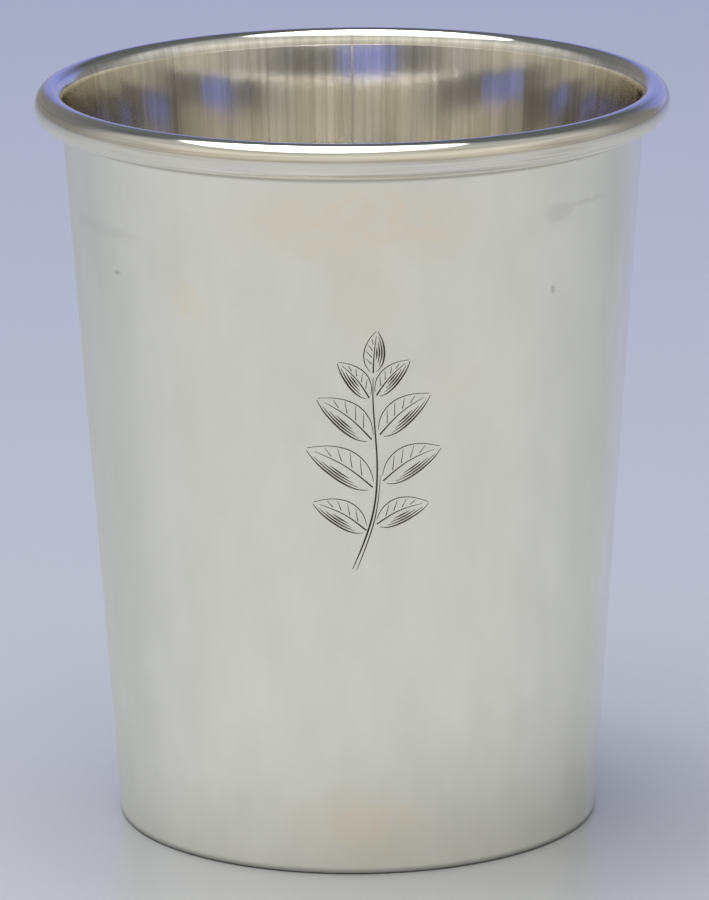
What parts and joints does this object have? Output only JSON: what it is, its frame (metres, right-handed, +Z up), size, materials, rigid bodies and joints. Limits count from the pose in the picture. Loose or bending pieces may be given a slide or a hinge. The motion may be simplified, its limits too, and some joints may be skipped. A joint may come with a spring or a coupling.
{
  "type": "julep cup",
  "caption": "Tapered silver julep cup with straight sides, a heavy oval wire rim and a flat base let into its foot, for cold drinks over crushed ice.",
  "frame": {"origin": "middle of the foot, on the surface that the cup stands on", "axes": "+Z up along the cup's axis, front of the cup towards -Y, soldered seams at +Y"},
  "size_m": [0.0808, 0.0808, 0.0953],
  "materials": {
    "sterling_silver": "polished sterling silver with a soft, lightly worn surface",
    "silver_solder": "silver solder, filed and polished, a little yellower than the sheet"
  },
  "bodies": {
    "root": {"cup_wall": "sterling_silver", "side_seam_solder": "silver_solder", "rim_wire": "sterling_silver", "wire_joint_solder": "silver_solder", "rim_solder": "silver_solder", "base_disc": "sterling_silver", "base_solder": "silver_solder"}
  },
  "joints": []
}
